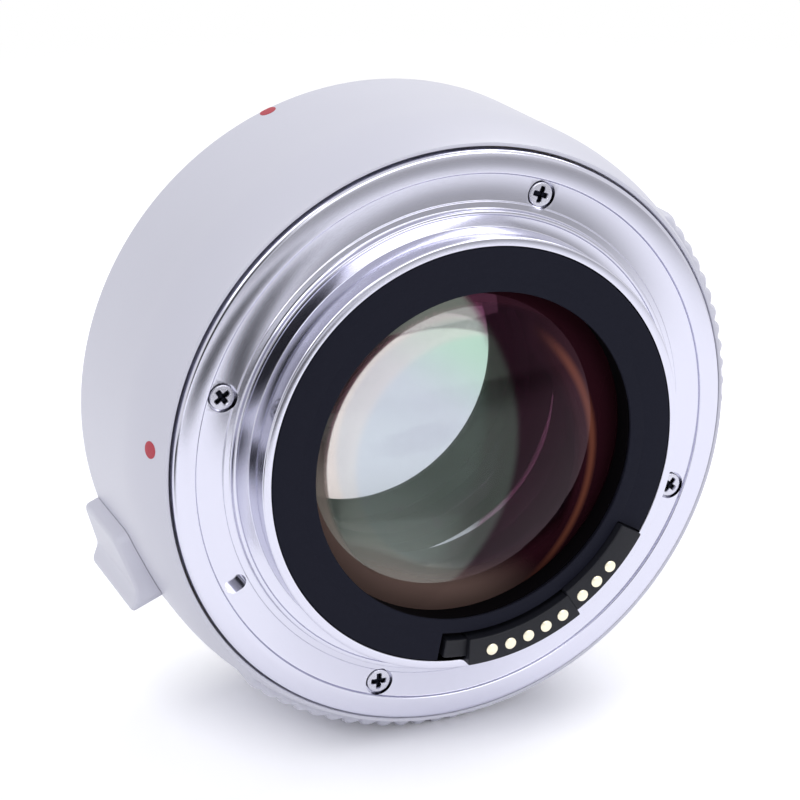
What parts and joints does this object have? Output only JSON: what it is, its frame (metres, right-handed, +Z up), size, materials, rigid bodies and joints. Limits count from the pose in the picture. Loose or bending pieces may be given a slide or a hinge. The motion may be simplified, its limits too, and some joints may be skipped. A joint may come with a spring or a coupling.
{
  "type": "camera teleconverter",
  "caption": "Pale grey lens converter with a chrome male bayonet and gold contacts at the rear, a female bayonet, protruding nose and lock pin at the front, grip ribs and a release lever",
  "frame": {"origin": "on the optical axis, in the plane of the rear flange seat", "axes": "-Y is the optical axis towards the camera, +Y towards the lens, +Z up as pictured, lying on the ribs; +X is the right side seen from the rear"},
  "size_m": [0.0725, 0.0402, 0.0722],
  "materials": {
    "painted_grey": "satin",
    "chrome": "polished",
    "steel": "brushed",
    "brass_shim": "rolled",
    "black_metal": "matt",
    "black_plastic": "matt",
    "gold_contact": "plated",
    "coated_glass": "coated",
    "amber_film": "film",
    "green_board": "satin",
    "cream_plastic": "matt",
    "red_mark": "satin"
  },
  "bodies": {
    "housing": {"barrel": "painted_grey", "rear_mount": "chrome", "rear_mount_screws": "steel", "mount_shim": "brass_shim", "rear_baffle": "black_metal", "rear_contact_block": "black_plastic", "rear_contacts": "gold_contact", "optics_barrel": "black_metal", "optics_screws": "steel", "rear_element": "coated_glass", "rear_retaining_ring": "black_metal", "middle_element": "coated_glass", "rear_spacer": "black_metal", "pair_rear_element": "coated_glass", "pair_front_element": "coated_glass", "front_spacer": "black_metal", "front_element": "coated_glass", "front_retaining_ring": "black_metal", "front_mount": "chrome", "front_mount_screws": "steel", "mount_springs": "steel", "spring_screws": "steel", "inner_shield": "black_metal", "front_contact_block": "black_plastic", "contact_block_screws": "steel", "contact_springs": "steel", "contact_back_plate": "black_plastic", "front_flex": "amber_film", "rear_flex": "amber_film", "circuit_board": "green_board", "board_screws": "steel", "control_chip": "black_plastic", "flex_clamps": "cream_plastic", "lock_spring": "steel", "guide_bracket": "steel", "bracket_screws": "steel", "lens_index_dot": "red_mark", "camera_index_dot": "red_mark"},
    "release": {"release_lever": "painted_grey", "lever_slider": "steel", "lever_screw": "steel", "lock_pin": "steel"},
    "sprung_contact_pin_1": {"contact_pin_1": "gold_contact"},
    "sprung_contact_pin_2": {"contact_pin_2": "gold_contact"},
    "sprung_contact_pin_3": {"contact_pin_3": "gold_contact"},
    "sprung_contact_pin_4": {"contact_pin_4": "gold_contact"},
    "sprung_contact_pin_5": {"contact_pin_5": "gold_contact"},
    "sprung_contact_pin_6": {"contact_pin_6": "gold_contact"},
    "sprung_contact_pin_7": {"contact_pin_7": "gold_contact"},
    "sprung_contact_pin_8": {"contact_pin_8": "gold_contact"}
  },
  "joints": [
    {"name": "release_slide", "type": "slide", "parent": "housing", "child": "release", "axis": [0, -1, 0], "range_m": [0, 0.002], "stiffness_N_per_m": 300, "springref_m": -0.003, "deforming": ["lock_spring"]},
    {"name": "pin_1_slide", "type": "slide", "parent": "housing", "child": "sprung_contact_pin_1", "axis": [0, -1, 0], "range_m": [0, 0.001], "stiffness_N_per_m": 150, "springref_m": -0.002, "deforming": ["contact_springs"]},
    {"name": "pin_2_slide", "type": "slide", "parent": "housing", "child": "sprung_contact_pin_2", "axis": [0, -1, 0], "range_m": [0, 0.001], "stiffness_N_per_m": 150, "springref_m": -0.002, "deforming": ["contact_springs"]},
    {"name": "pin_3_slide", "type": "slide", "parent": "housing", "child": "sprung_contact_pin_3", "axis": [0, -1, 0], "range_m": [0, 0.001], "stiffness_N_per_m": 150, "springref_m": -0.002, "deforming": ["contact_springs"]},
    {"name": "pin_4_slide", "type": "slide", "parent": "housing", "child": "sprung_contact_pin_4", "axis": [0, -1, 0], "range_m": [0, 0.001], "stiffness_N_per_m": 150, "springref_m": -0.002, "deforming": ["contact_springs"]},
    {"name": "pin_5_slide", "type": "slide", "parent": "housing", "child": "sprung_contact_pin_5", "axis": [0, -1, 0], "range_m": [0, 0.001], "stiffness_N_per_m": 150, "springref_m": -0.002, "deforming": ["contact_springs"]},
    {"name": "pin_6_slide", "type": "slide", "parent": "housing", "child": "sprung_contact_pin_6", "axis": [0, -1, 0], "range_m": [0, 0.001], "stiffness_N_per_m": 150, "springref_m": -0.002, "deforming": ["contact_springs"]},
    {"name": "pin_7_slide", "type": "slide", "parent": "housing", "child": "sprung_contact_pin_7", "axis": [0, -1, 0], "range_m": [0, 0.001], "stiffness_N_per_m": 150, "springref_m": -0.002, "deforming": ["contact_springs"]},
    {"name": "pin_8_slide", "type": "slide", "parent": "housing", "child": "sprung_contact_pin_8", "axis": [0, -1, 0], "range_m": [0, 0.001], "stiffness_N_per_m": 150, "springref_m": -0.002, "deforming": ["contact_springs"]}
  ]
}
